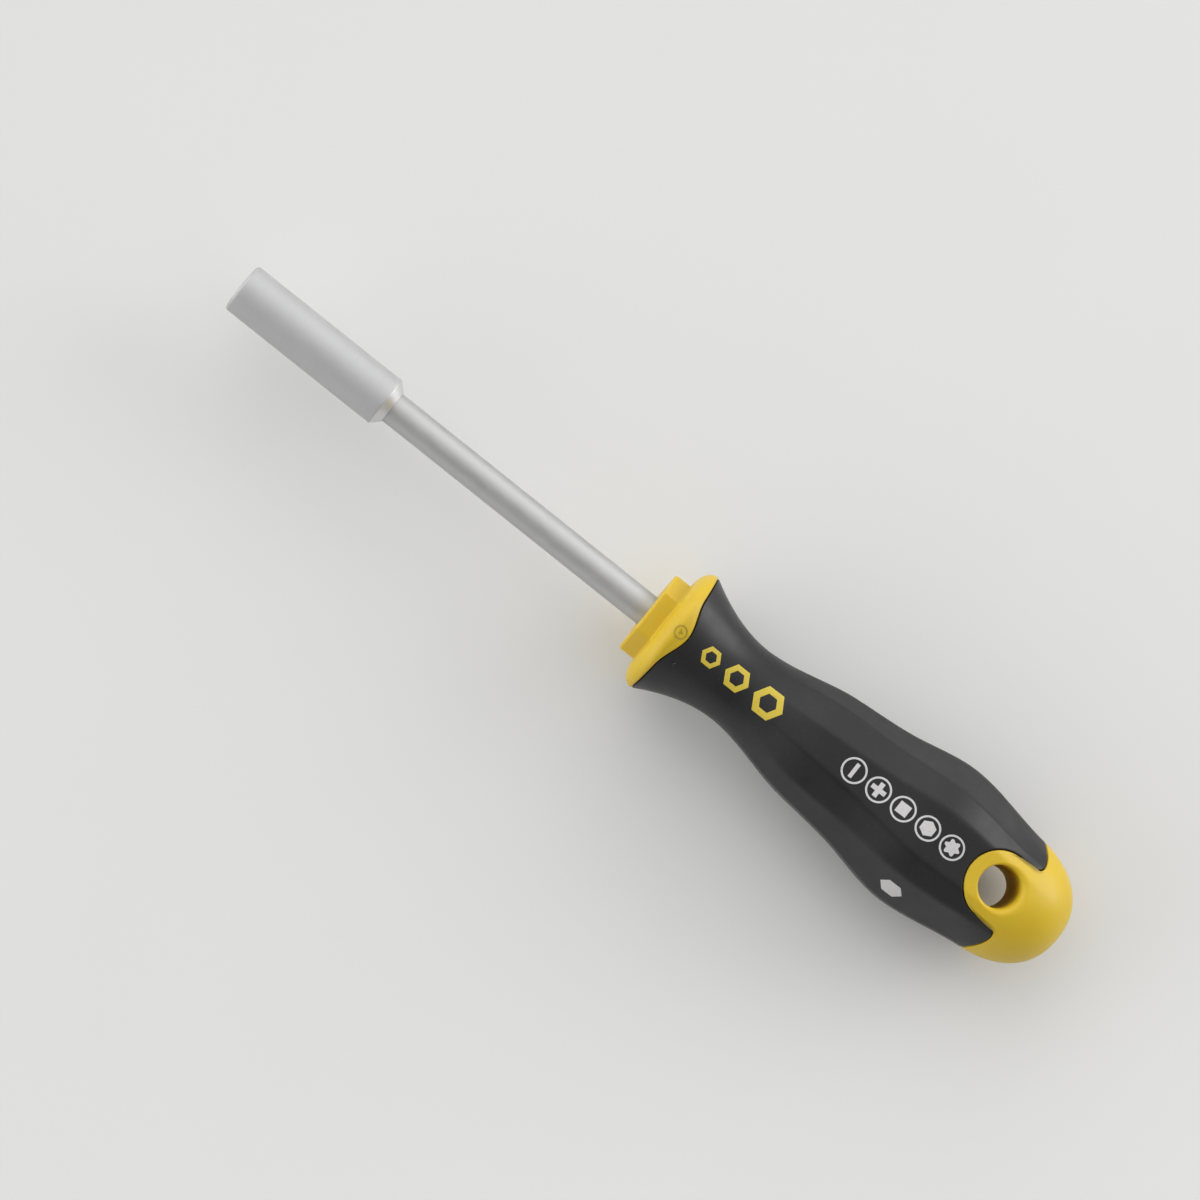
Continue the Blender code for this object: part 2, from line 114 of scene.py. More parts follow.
# Sizes of the blade, sleeve, magnet and ring
BLADE_RADIUS = 3.25 * MM
BLADE_BORE = BLADE_RADIUS + 0.06 * MM
BLADE_EDGE = 0.4 * MM
TANG_COVER = 5.0 * MM
WING_WIDE = 5.0 * MM
WING_THIN = 2.1 * MM
FRONT_WING = 19.0 * MM
REAR_WING = 5.0 * MM
SLEEVE_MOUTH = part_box("bit_sleeve")[1].x
SLEEVE_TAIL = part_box("bit_sleeve")[0].x
SLEEVE_RADIUS = 5.2 * MM
SOCKET_FLAT = 3.225 * MM
SOCKET_CORNER = SOCKET_FLAT / math.cos(math.radians(30))
MAGNET_RADIUS = 3.025 * MM
MAGNET_LENGTH = 6.0 * MM
MAGNET_BACK = -MAGNET_LENGTH - 0.15 * MM
RING_AT = 0.5 * (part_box("retaining_ring")[0].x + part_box("retaining_ring")[1].x)
RING_WIRE = 0.35 * MM
RING_RADIUS = SOCKET_CORNER - 0.30 * MM + RING_WIRE

# Fine features that only the looks have
SKIN_TRIM = 0.9972
SEAM_GAP = 0.18 * MM
SEAM_ROUND = 0.28 * MM
SEAM_REACH = 0.5 * MM
BAND_WIDTH = 0.60 * MM
HOLE_CRISP = 0.35 * MM
HOLE_SOFT = 1.9 * MM
INK = 0.03 * MM

# Rows and columns of a quarter of the handle
COLUMNS = 108
GRIP_ROWS = 150
BED_ROWS = 24
CAVITY_ROWS = 20
CREST_ROWS = 22
EVEN_ROWS = 26
CLOSE_ROWS = 27
HOLE_ROWS = 14

# Angles in degrees from which an edge is shaded as sharp
MOULDED_EDGE = 50
TURNED_EDGE = 30
MAGNET_EDGE = 40
MARK_EDGE = 60

# Front edge of the soft grip, drawn up to the flange's crest at the sides
FRONT_LAND = 0.10 * MM
FRONT_WAVE = 0.75 * MM
FRONT_TONGUE = 1.65 * MM
FRONT_TONGUE_ANGLE = math.radians(36)

# Marks on the handle: where they lie and how far they reach from their middle
MARK_RIM = 0.05 * MM
MARK_SUNK = -0.06 * MM
SOCKET_MARK_AT = 69.4 * MM
SOCKET_MARK_ANGLE = math.radians(61)
SOCKET_MARK_REACH = 2.6 * MM
DRIVE_FIRST = 49.5 * MM
DRIVE_STEP = 5.9 * MM
DRIVE_RING = 2.6 * MM
DRIVE_RING_HOLE = 0.84
SIZE_MARKS = ((14.8 * MM, 2.2 * MM), (21.2 * MM, 2.8 * MM), (28.8 * MM, 3.4 * MM))
SIZE_MARK_HOLE = 0.55
MOULD_MARK_AT = 7.15 * MM
MOULD_RING = 1.42 * MM
MOULD_RING_HOLE = 0.78
MOULD_RING_LIFT = 0.10 * MM
POINTER_REACH = 0.62 * MM
POINTER_LIFT = 0.09 * MM
GATE_AT = 10.0 * MM
GATE_ANGLE = math.radians(28)
GATE_REACH = 0.45 * MM
GATE_LIFT = 0.05 * MM
GATE_CROWN = 0.32 * MM


# Shape functions of the handle

def ease(low, high, value):
    """Smooth step: 0 up to low, 1 from high, a cubic in between."""
    share = np.clip((value - low) / (high - low), 0.0, 1.0)
    return share * share * (3.0 - 2.0 * share)


def mix(low, high, share):
    """The value this share of the way from low to high."""
    return low + (high - low) * share


def dome_curve(station):
    """Superellipse of the rounded end: radius and slope at each station."""
    length = END_AT - TAIL_AT + DOME_LEAD
    start = DOME_LEAD / length
    width = TAIL_RADIUS / (1.0 - start ** DOME_POWER) ** (1.0 / DOME_POWER)
    share = np.clip((station - TAIL_AT + DOME_LEAD) / length, 0.0, 1.0)
    rest = np.maximum(1.0 - share ** DOME_POWER, 1e-12)
    radius = width * rest ** (1.0 / DOME_POWER)
    slope = -width / length * share ** (DOME_POWER - 1.0) * rest ** (1.0 / DOME_POWER - 1.0)
    return radius, slope


KNOTS = (
    (FLANGE_AT, FLANGE_RADIUS, -FLANGE_FALL),
    (NECK_AT, NECK_RADIUS, 0.0),
    (WAIST_AT, WAIST_RADIUS, WAIST_RISE),
    (SWELL_AT, SWELL_RADIUS, SWELL_RISE),
    (BELLY_AT, BELLY_RADIUS, 0.0),
    (TAIL_AT, TAIL_RADIUS, float(dome_curve(TAIL_AT)[1])),
)


def outline_radius(station):
    """Handle outline: the flange's quarter ellipse, cubic curves from flange to tail, then the dome."""
    station = np.asarray(station, float)
    ahead = np.clip((FLANGE_AT - station) / FLANGE_ROUND, 0.0, 1.0)
    radius = mix(FLANGE_FACE, FLANGE_RADIUS, np.sqrt(1.0 - ahead * ahead))
    for (low, low_r, low_slope), (high, high_r, high_slope) in zip(KNOTS, KNOTS[1:]):
        span = high - low
        u = np.clip((station - low) / span, 0.0, 1.0)
        blend = mix(low_r, high_r, u * u * (3.0 - 2.0 * u))
        lead = span * u * (1.0 - u) ** 2 * low_slope
        tail = span * u * u * (u - 1.0) * high_slope
        radius = np.where(station >= low, blend + lead + tail, radius)
    return np.where(station >= TAIL_AT, dome_curve(station)[0], radius)


def panel_share(station):
    """Strength of the panels: none at the neck, full on the belly, none on the rounded end."""
    faded = ease(TAIL_AT - PANEL_FADE, TAIL_AT + PANEL_FADE, station)
    return ease(NECK_AT, WAIST_AT, station) * (1.0 - faded)


def skin_radius(station, angle):
    """Outer radius, a hair inside the solids: six panels and six bevels joined by a high power mean."""
    sector = TAU / PANELS
    half = mix(WAIST_PANEL, BELLY_PANEL, ease(WAIST_AT, BELLY_AT, station))
    depth = np.cos(half) / np.cos(sector / 2 - half)
    off_panel = (angle + sector / 2) % sector - sector / 2
    off_bevel = angle % sector - sector / 2
    reach = (np.cos(off_panel) / depth) ** PANEL_SHARPNESS + np.cos(off_bevel) ** PANEL_SHARPNESS
    facet = reach ** (-1.0 / PANEL_SHARPNESS)
    return SKIN_TRIM * outline_radius(station) * (1.0 + panel_share(station) * (facet - 1.0))


def collar_radius(angle):
    """Hexagon with round corners: a high power mean of the six flats' distances."""
    sharpness = 60.0
    flats = np.arange(6) * math.radians(60)
    facing = np.maximum(np.cos(np.asarray(angle)[..., None] - flats), 0.0)
    return 0.5 * COLLAR_FLATS * (facing ** sharpness).sum(-1) ** (-1.0 / sharpness)


def place(station, radius, angle):
    """Points in the frame from station, radius and angle."""
    station, radius, angle = np.broadcast_arrays(station, radius, angle)
    return np.stack((COLLAR_FACE - station, radius * np.sin(angle), radius * np.cos(angle)), -1)


def side_angle(side, station):
    """Angle at which the skin lies this far to the side, by repeated substitution."""
    angle = np.zeros(np.broadcast(side, station).shape)
    for _ in range(12):
        angle = np.arcsin(np.clip(side / skin_radius(station, angle), 0.0, 1.0))
    return angle


# Edges of the soft grip

def resample(points, count):
    """The same curve at evenly spaced lengths; the first three values of a row are its place."""
    steps = np.linalg.norm(np.diff(points[:, :3], axis=0), axis=1)
    length = np.concatenate(([0.0], np.cumsum(steps)))
    wanted = np.linspace(0.0, length[-1], count)
    return np.stack([np.interp(wanted, length, points[:, k]) for k in range(points.shape[1])], -1)


def rear_edge():
    """Quarter of the grip's rear edge: arc round the hole, straight side, round tongue, low flank."""
    turn = np.linspace(0.0, QUARTER, 400)
    ear_at = HOLE_AT - EAR_RADIUS * np.cos(turn)
    ear = np.stack((side_angle(EAR_RADIUS * np.sin(turn), ear_at), ear_at), -1)
    tip_at = TONGUE_AT - TONGUE_ROUND * (1.0 - np.sin(turn))
    tip_side = EAR_RADIUS + TONGUE_ROUND * (1.0 - np.cos(turn))
    tip = np.stack((side_angle(tip_side, tip_at), tip_at), -1)
    share = np.linspace(0.0, 1.0, 400)[1:]
    flank_angle = mix(tip[-1, 0], QUARTER, share)
    flank = np.stack((flank_angle, TONGUE_AT - FLANK_DIP * ease(0.0, 1.0, share)), -1)
    straight_at = np.linspace(ear_at[-1], tip_at[0], 60)[1:-1]
    straight = np.stack((side_angle(EAR_RADIUS, straight_at), straight_at), -1)
    curve = np.concatenate((ear, straight, tip, flank))
    spots = place(curve[:, 1], skin_radius(curve[:, 1], curve[:, 0]), curve[:, 0])
    return resample(np.concatenate((spots, curve), 1), COLUMNS + 1)[:, 3:]


def front_edge(angle):
    """Station of the grip's front edge: a slow wave and a cosine tongue above and below."""
    reach = np.minimum(1.0, angle / FRONT_TONGUE_ANGLE)
    tongue = FRONT_TONGUE * (0.5 + 0.5 * np.cos(math.pi * reach))
    return FLANGE_AT + FRONT_LAND + FRONT_WAVE * np.cos(angle) ** 2 + tongue


def edge_normals(edge):
    """Unit normals of an edge on the unrolled skin, to the left of its run from top to side."""
    radius = skin_radius(edge[:, 1], edge[:, 0])
    run = np.stack((radius * np.gradient(edge[:, 0]), np.gradient(edge[:, 1])), -1)
    run[[0, -1], 1] = 0.0
    run /= np.linalg.norm(run, axis=1)[:, None]
    return np.stack((-run[:, 1] / radius, run[:, 0]), -1)


SHARES = np.linspace(0.0, 1.0, COLUMNS + 1)
FRONT = np.stack((QUARTER * SHARES, front_edge(QUARTER * SHARES)), -1)
FRONT_NORMALS = edge_normals(FRONT)
REAR = rear_edge()
REAR_NORMALS = edge_normals(REAR)
ROUND_TURNS = np.linspace(0.0, QUARTER, 7)


def skin_row(curve, depth):
    """One row of points this deep under the skin along a curve of angles and stations."""
    return place(curve[:, 1], skin_radius(curve[:, 1], curve[:, 0]) - depth, curve[:, 0])


def rounded_rows(edge, normals, side):
    """Rows from an edge's foot over its quarter-round to the flat skin; side says which way."""
    rows = []
    for turn in ROUND_TURNS:
        away = SEAM_GAP / 2 + SEAM_ROUND * (1.0 - math.cos(turn))
        rows.append(skin_row(edge + side * away * normals, SEAM_ROUND * (1.0 - math.sin(turn))))
    rows.append(skin_row(edge + side * BAND_WIDTH * normals, 0.0))
    return rows


def between(front, rear, share):
    """Curve this share of the way from the front edge to the rear edge; angles follow the rear late."""
    angle = mix(front[:, 0], rear[:, 0], share * share)
    return np.stack((angle, mix(front[:, 1], rear[:, 1], share)), -1)


def seam_closeness(points):
    """Nearness of each point to the grip's edges: 1 on them, an exponential fall away from them.

    The points are taken in batches, so that the table of distances stays small.
    """
    batches = 40
    edges = np.concatenate((skin_row(FRONT, 0.0), skin_row(REAR, 0.0)))
    folded = points.copy()
    folded[:, 1:] = np.abs(folded[:, 1:])
    near = np.full(len(points), 1.0)
    for part in np.array_split(np.arange(len(points)), batches):
        gap = np.linalg.norm(folded[part, None] - edges[None], axis=-1)
        near[part] = gap.min(axis=1)
    return np.exp(-near / SEAM_REACH)


# Mesh helpers

def grid_quads(rows, cols, wrap_rows=False, wrap_cols=False):
    """Corner numbers of the quads of a grid, joined end to end where it wraps."""
    down, across = np.meshgrid(np.arange(rows if wrap_rows else rows - 1),
                               np.arange(cols if wrap_cols else cols - 1), indexing="ij")
    below, after = (down + 1) % rows, (across + 1) % cols
    corners = (down * cols + across, down * cols + after, below * cols + after, below * cols + across)
    return np.stack(corners, -1).reshape(-1, 4)


def mesh_object(name, points, quads, uv=None, fields=None, sharp=None):
    """A smooth-shaded object at the origin from points and quads, doubles merged and faces outwards."""
    mesh = bpy.data.meshes.new(name)
    mesh.from_pydata(points.tolist(), [], quads.tolist())
    if uv is not None:
        layer = mesh.uv_layers.new(name="round_and_along")
        layer.data.foreach_set("uv", uv.astype(np.float32).ravel())
    for field, values in (fields or {}).items():
        layer = mesh.attributes.new(field, "FLOAT", "POINT")
        layer.data.foreach_set("value", values.astype(np.float32))
    work = bmesh.new()
    work.from_mesh(mesh)
    bmesh.ops.remove_doubles(work, verts=work.verts, dist=1e-7)
    bmesh.ops.dissolve_degenerate(work, edges=work.edges, dist=1e-8)
    bmesh.ops.recalc_face_normals(work, faces=work.faces)
    work.to_mesh(mesh)
    work.free()
    mesh.shade_smooth()
    if sharp is not None:
        mesh.set_sharp_from_angle(angle=math.radians(sharp))
    piece = bpy.data.objects.new(name, mesh)
    bpy.context.scene.collection.objects.link(piece)
    return piece


def gathered(parts):
    """Points and quads of several grids, one after another."""
    starts = np.cumsum([0] + [len(points) for points, _ in parts])
    points = np.concatenate([points for points, _ in parts])
    return points, np.concatenate([quads + start for (_, quads), start in zip(parts, starts)])


def four_fold(grids):
    """Points and quads of quarter grids, mirrored to the other side and to the underside."""
    parts = []
    for grid in grids:
        quads = grid_quads(*grid.shape[:2])
        for flip_y in (1.0, -1.0):
            for flip_z in (1.0, -1.0):
                turned = quads if flip_y * flip_z > 0 else quads[:, ::-1]
                parts.append((grid.reshape(-1, 3) * (1.0, flip_y, flip_z), turned))
    return gathered(parts)


def quad_corners(left, right, low, high):
    """UV places of each quad's corners, in the order of grid_quads."""
    return np.stack((left, low, right, low, right, high, left, high), -1).reshape(-1, 2)


def turned_piece(name, rows, count, wrap_rows, sharp):
    """A profile carried round the axis: rows of x and radius, fixed or a function of the angle.

    Its UV map runs once round, and along the profile by the girth of a bar 10 mm thick.
    """
    girth = 10 * math.pi * MM
    angle = TAU * np.arange(count) / count
    grid = []
    for x, radius in rows:
        reach = radius(angle) if callable(radius) else np.full(count, radius)
        grid.append(np.stack((np.full(count, x), reach * np.sin(angle), reach * np.cos(angle)), -1))
    grid = np.stack(grid)
    quads = grid_quads(len(rows), count, wrap_rows, True)
    run = np.linalg.norm(np.diff(grid[:, 0], axis=0, append=grid[:1, 0]), axis=1)
    along = np.concatenate(([0.0], np.cumsum(run))) / girth
    down, across = quads[:, 0] // count, quads[:, 0] % count
    uv = quad_corners(across / count, (across + 1) / count, along[down], along[down + 1])
    return mesh_object(name, grid.reshape(-1, 3), quads, uv=uv, sharp=sharp)


# Soft grip

def grip_body():
    """Grip: skin rows from front edge to rear edge, a quarter-round at each, a wall under the skin."""
    front_in = FRONT + BAND_WIDTH * FRONT_NORMALS
    rear_in = REAR - BAND_WIDTH * REAR_NORMALS
    rows = rounded_rows(FRONT, FRONT_NORMALS, 1.0)
    for share in np.linspace(0.0, 1.0, GRIP_ROWS)[1:-1]:
        rows.append(skin_row(between(front_in, rear_in, share), 0.0))
    rows += reversed(rounded_rows(REAR, REAR_NORMALS, -1.0))
    front_foot = FRONT + SEAM_GAP / 2 * FRONT_NORMALS
    rear_foot = REAR - SEAM_GAP / 2 * REAR_NORMALS
    for share in np.linspace(1.0, 0.0, BED_ROWS):
        rows.append(skin_row(between(front_foot, rear_foot, share), GRIP_THICKNESS))
    rows.append(rows[0])
    points, quads = four_fold([np.stack(rows)])
    fields = {"seam": seam_closeness(points)}
    return mesh_object("soft_grip_body", points, quads, fields=fields, sharp=MOULDED_EDGE)


# Hard shell

def hole_round(turn):
    """Radius of the hole's edge: crisp towards the tip, generous towards the end."""
    return mix(HOLE_CRISP, HOLE_SOFT, ease(0.15 * math.pi, 0.95 * math.pi, turn))


def unrolled(curve):
    """Places on the flat chart of the skin: arc length round the handle, and station."""
    return np.stack((outline_radius(curve[:, 1]) * curve[:, 0], curve[:, 1]), -1)


def dome_side(edge_at, steps):
    """Chart places down the side from the edge to the end, at these shares of the profile's length."""
    station = END_AT - (END_AT - edge_at) * (1.0 - np.sin(np.linspace(0.0, QUARTER, 1500)))
    radius = outline_radius(station)
    radius[-1] = 0.0
    length = np.concatenate(([0.0], np.cumsum(np.hypot(np.diff(station), np.diff(radius)))))
    at = np.interp(steps * length[-1], length, station)
    side = np.stack((QUARTER * outline_radius(at), at), -1)
    side[-1] = (0.0, END_AT)
    return side


def dome_rows():
    """Rear of the shell: rows run from the grip's edge to the hole and the ridge behind it.

    A Coons patch on the unrolled skin joins the edge to a spine, which is half the hole's rim and the
    middle line from there to the end; skin near the hole then drops over the rim's quarter-round.
    """
    edge = unrolled(REAR + BAND_WIDTH * REAR_NORMALS)
    ear_end = int(np.argmin(np.abs(REAR[:, 1] - HOLE_AT)))
    tip_end = int(np.argmax(REAR[:, 1]))
    rim_share, tip_turn, crowding, even = 0.22, 0.86 * math.pi, 0.2, 0.62
    rim_end = int(mix(tip_end, COLUMNS, rim_share))
    stops = (0, ear_end, tip_end, rim_end, COLUMNS)
    turn = np.interp(np.arange(COLUMNS + 1), stops, (0.0, QUARTER, tip_turn, math.pi, math.pi))
    rim_at = HOLE_AT - HOLE_RADIUS * np.cos(turn)
    rim_angle = side_angle(HOLE_RADIUS * np.sin(turn), rim_at)
    rim_angle[rim_end:] = 0.0
    behind = np.clip((np.arange(COLUMNS + 1) - rim_end) / (COLUMNS - rim_end), 0.0, 1.0)
    spine_at = mix(rim_at, END_AT, np.sin(QUARTER * behind) * behind ** crowding)
    spine = unrolled(np.stack((rim_angle, spine_at), -1))
    spine[-1] = (0.0, END_AT)
    closing = mix(even, 1.0, np.sin(np.linspace(0, QUARTER, CLOSE_ROWS)[1:]))
    steps = np.concatenate((np.linspace(0.0, even, EVEN_ROWS), closing))
    side = dome_side(edge[-1, 1], steps)
    middle = mix(edge[0], spine[0], steps[:, None])
    u, w = SHARES[None, :, None], steps[:, None, None]
    patch = (1 - w) * edge[None] + w * spine[None] + (1 - u) * middle[:, None] + u * side[:, None]
    patch = patch - (1 - u) * mix(edge[0], spine[0], w) - u * mix(edge[-1], spine[-1], w)
    station = np.minimum(patch[..., 1], END_AT)
    radius = outline_radius(station)
    angle = np.divide(patch[..., 0], radius, out=np.zeros_like(radius), where=radius > 1e-7)
    angle = np.clip(angle, 0.0, QUARTER)
    angle[:, -1] = QUARTER
    points = place(station, skin_radius(station, angle), angle)
    points[-1, -1] = (COLLAR_FACE - END_AT, 0.0, 0.0)
    ahead = HOLE_AT - (COLLAR_FACE - points[..., 0])
    rounding = hole_round(np.arctan2(points[..., 1], ahead))
    inside = np.clip(HOLE_RADIUS + rounding - np.hypot(points[..., 1], ahead), 0.0, rounding)
    points[..., 2] -= rounding - np.sqrt(np.maximum(rounding ** 2 - inside ** 2, 0.0))
    wall = np.repeat(points[-1:, :rim_end + 1], HOLE_ROWS, axis=0)
    wall[..., 2] *= np.linspace(1.0, 0.0, HOLE_ROWS)[:, None]
    return points[1:], wall


def shell_body():
    """Shell: rows through core cavity, blade bore, collar, flange, bed under the grip and domed end."""
    angle = QUARTER * SHARES
    round_row = np.zeros_like(angle)
    hexagon = collar_radius(angle)
    lip, edge, foot = 0.25 * MM, 0.55 * MM, 0.35 * MM
    rows = [place(CORE_END + MOULD_GAP, round_row, angle)]
    for station in np.linspace(CORE_END, CORE_SETBACK - MOULD_GAP, CAVITY_ROWS):
        core_at = np.clip(station, CORE_SETBACK, CORE_END - CORE_EDGE)
        radius = outline_radius(core_at) - CORE_INSET + MOULD_GAP
        flute = FLUTE_DEPTH * ease(NECK_AT, SWELL_AT, station) * (0.5 - 0.5 * np.cos(FLUTES * angle))
        rows.append(place(station, radius - flute, angle))
    rows.append(place(CORE_SETBACK - MOULD_GAP, round_row + BLADE_BORE, angle))
    rows.append(place(0.5 * COLLAR_LENGTH, round_row + BLADE_BORE, angle))
    for turn in ROUND_TURNS:
        radius = round_row + BLADE_BORE + lip * (1 - math.cos(turn))
        rows.append(place(lip * (1 - math.sin(turn)), radius, angle))
    for share in (0.35, 0.7):
        rows.append(place(0.0, mix(BLADE_BORE + lip, hexagon - edge, share), angle))
    for turn in ROUND_TURNS:
        rows.append(place(edge * (1 - math.cos(turn)), hexagon - edge * (1 - math.sin(turn)), angle))
    for share in np.linspace(0.0, 1.0, 6)[1:]:
        rows.append(place(mix(edge, COLLAR_LENGTH - foot, share), hexagon, angle))
    for turn in ROUND_TURNS[1:]:
        radius = hexagon + foot * (1 - math.cos(turn))
        rows.append(place(COLLAR_LENGTH - foot * (1 - math.sin(turn)), radius, angle))
    land = FRONT - BAND_WIDTH * FRONT_NORMALS
    crest = np.minimum(land[:, 1], FLANGE_AT)
    for turn in np.linspace(0.0, QUARTER, CREST_ROWS)[1:]:
        rows.append(skin_row(np.stack((angle, mix(COLLAR_LENGTH, crest, 1 - math.cos(turn))), -1), 0.0))
    for share in (0.25, 0.5, 0.75):
        rows.append(skin_row(np.stack((angle, mix(crest, land[:, 1], share)), -1), 0.0))
    rows += reversed(rounded_rows(FRONT, FRONT_NORMALS, -1.0))
    front_foot = FRONT - SEAM_GAP / 2 * FRONT_NORMALS
    rear_foot = REAR + SEAM_GAP / 2 * REAR_NORMALS
    for share in np.linspace(0.0, 1.0, BED_ROWS):
        rows.append(skin_row(between(front_foot, rear_foot, share), GRIP_THICKNESS + 0.5 * SEAM_GAP))
    rows += rounded_rows(REAR, REAR_NORMALS, 1.0)
    dome, wall = dome_rows()
    rows += list(dome)
    points, quads = four_fold([np.stack(rows), wall])
    from_hole = np.hypot(COLLAR_FACE - HOLE_AT - points[:, 0], points[:, 1])
    in_bore = 1.0 - ease(HOLE_RADIUS, HOLE_RADIUS + 0.2 * MM, from_hole)
    fields = {"seam": seam_closeness(points), "bore": in_bore}
    return mesh_object("handle_shell_body", points, quads, fields=fields, sharp=MOULDED_EDGE)


# Blade, sleeve, magnet and ring

def blade_body():
    """Blade: a turned bar from the magnet to the tang, flattened to ellipses at two crossed wings.

    Each step of a wing is a distance ahead of its end in millimetres, and how far the bar is flattened.
    """
    front = MAGNET_BACK
    tang = COLLAR_FACE - (CORE_END - TANG_COVER)
    wings = ((FRONT_WING, WING_WIDE, WING_THIN), (REAR_WING, WING_THIN, WING_WIDE))
    wing_steps = ((9.0, 0.0), (8.0, 0.5), (7.0, 1.0), (0.0, 1.0), (-1.0, 0.5), (-2.0, 0.0))

    def ellipse(across, tall):
        """Radius of an ellipse as a function of the angle."""
        return lambda angle: across * tall / np.hypot(tall * np.sin(angle), across * np.cos(angle))

    rows = [(front, 0.0), (front, BLADE_RADIUS - BLADE_EDGE), (front - BLADE_EDGE, BLADE_RADIUS)]
    rows += [(x, BLADE_RADIUS) for x in np.linspace(SLEEVE_TAIL, COLLAR_FACE, 12)]
    for end, across, tall in wings:
        for ahead, share in wing_steps:
            section = ellipse(mix(BLADE_RADIUS, across, share), mix(BLADE_RADIUS, tall, share))
            rows.append((tang + end + ahead * MM, section))
    rows += [(tang + BLADE_EDGE, BLADE_RADIUS), (tang, BLADE_RADIUS - BLADE_EDGE), (tang, 0.0)]
    return turned_piece("blade_bar", rows, 128, False, TURNED_EDGE)


def sleeve_body():
    """Sleeve: cylinder with round nose and tail cone; inside, lead-in, hexagon, groove and bores."""
    sector = math.radians(60)
    nose, lip, cone, soft = 0.75 * MM, 0.15 * MM, 1.8 * MM, 0.2 * MM
    pocket, floor = MAGNET_RADIUS + 0.1 * MM, -0.1 * MM
    groove, half = RING_RADIUS + RING_WIRE + 0.15 * MM, RING_WIRE + 0.15 * MM
    flare, flare_depth = 0.3 * MM, 0.86 * MM

    def hexagon(angle):
        """Radius of the socket's hexagon at each angle."""
        return SOCKET_FLAT / np.cos((angle + sector / 2) % sector - sector / 2)

    def lead_in(depth):
        """Radius of the mouth this deep: the larger of the hexagon and a cone."""
        return lambda angle: np.maximum(hexagon(angle), SOCKET_CORNER + flare - depth)

    rows = [(SLEEVE_TAIL, BLADE_BORE + lip)]
    slope = (SLEEVE_RADIUS - BLADE_BORE - lip) / cone
    for run in np.linspace(0.05, 1.0, 10) * (cone - soft):
        rows.append((SLEEVE_TAIL + run, BLADE_BORE + lip + run * slope))
    for share in (0.25, 0.5, 0.75, 1.0):
        sunk = soft * slope * (1 - share) ** 2
        rows.append((SLEEVE_TAIL + cone + soft * (2 * share - 1), SLEEVE_RADIUS - sunk))
    straight = np.linspace(SLEEVE_TAIL + cone + 1.0 * MM, SLEEVE_MOUTH - nose, 24)
    rows += [(x, SLEEVE_RADIUS) for x in straight]
    for turn in np.linspace(0.0, QUARTER, 9)[1:]:
        x = SLEEVE_MOUTH - nose * (1 - math.sin(turn))
        rows.append((x, SLEEVE_RADIUS - nose * (1 - math.cos(turn))))
    rows += [(SLEEVE_MOUTH - depth, lead_in(depth)) for depth in np.linspace(0.0, flare_depth, 14)]
    rows += [(RING_AT + half, hexagon), (RING_AT + half, groove)]
    rows += [(RING_AT - half, groove), (RING_AT - half, hexagon)]
    rows += [(mix(RING_AT - half, floor, 0.5), hexagon), (floor, hexagon), (floor, pocket)]
    rows += [(MAGNET_BACK, pocket), (MAGNET_BACK, BLADE_BORE), (SLEEVE_TAIL, BLADE_BORE)]
    return turned_piece("bit_sleeve_body", rows, 240, True, TURNED_EDGE)


def magnet_body():
    """Magnet: a turned disc with round edges and a shallow dish in its front face."""
    edge, dish = 0.25 * MM, 0.03 * MM
    rows = []
    for share in np.linspace(0.0, 1.0, 9):
        rows.append((-dish * (1 - share * share), share * (MAGNET_RADIUS - edge)))
    for turn in np.linspace(0.0, QUARTER, 6)[1:]:
        rows.append((-edge * (1 - math.cos(turn)), MAGNET_RADIUS - edge * (1 - math.sin(turn))))
    rows += [(edge - MAGNET_LENGTH, MAGNET_RADIUS), (-MAGNET_LENGTH, MAGNET_RADIUS - edge)]
    rows.append((-MAGNET_LENGTH, 0.0))
    return turned_piece("seat_magnet_body", rows, 96, False, MAGNET_EDGE)


def ring_body():
    """Ring: a round section carried along an open circle, its ends rounded off like hemispheres."""
    count, section = 160, 20
    half_gap = math.radians(20)
    turn = np.linspace(half_gap, TAU - half_gap, count)
    from_end = np.minimum(turn - turn[0], turn[-1] - turn) * RING_RADIUS
    inside = np.clip(1.0 - from_end / RING_WIRE, 0.0, 1.0)
    wire = RING_WIRE * np.sqrt(np.maximum(1.0 - inside * inside, 0.0))
    around = TAU * np.arange(section) / section
    reach = RING_RADIUS + wire[:, None] * np.cos(around)
    x = RING_AT + wire[:, None] * np.sin(around)
    points = np.stack((x, reach * np.sin(turn)[:, None], reach * np.cos(turn)[:, None]), -1)
    quads = grid_quads(count, section, False, True)
    along, across = quads[:, 0] // section / count, quads[:, 0] % section / section
    uv = quad_corners(across, across + 1.0 / section, along, along + 1.0 / count)
    return mesh_object("retaining_ring_wire", points.reshape(-1, 3), quads, uv=uv)


# Printed and moulded marks

def sides(corners, steps=14):
    """Outline through corners, each straight side cut into equal steps."""
    corners = np.asarray(corners, float)
    along = np.arange(steps)[None, :, None] / steps
    return (corners[:, None] + (np.roll(corners, -1, axis=0) - corners)[:, None] * along).reshape(-1, 2)


def regular(corners, reach, first=0.0):
    """Outline of a regular polygon."""
    turn = first + TAU * np.arange(corners) / corners
    return sides(reach * np.stack((np.cos(turn), np.sin(turn)), -1))


def lobed(reach, depth, lobes):
    """Outline that waves in and out by a cosine; no depth gives a circle."""
    turn = TAU * np.arange(96) / 96
    swing = reach * (1.0 - depth * (0.5 - 0.5 * np.cos(lobes * turn)))
    return np.stack((swing * np.cos(turn), swing * np.sin(turn)), -1)


def bar(length, width):
    """Outline of a bar across the row."""
    a, b = length / 2, width / 2
    return sides(((-b, -a), (b, -a), (b, a), (-b, a)))


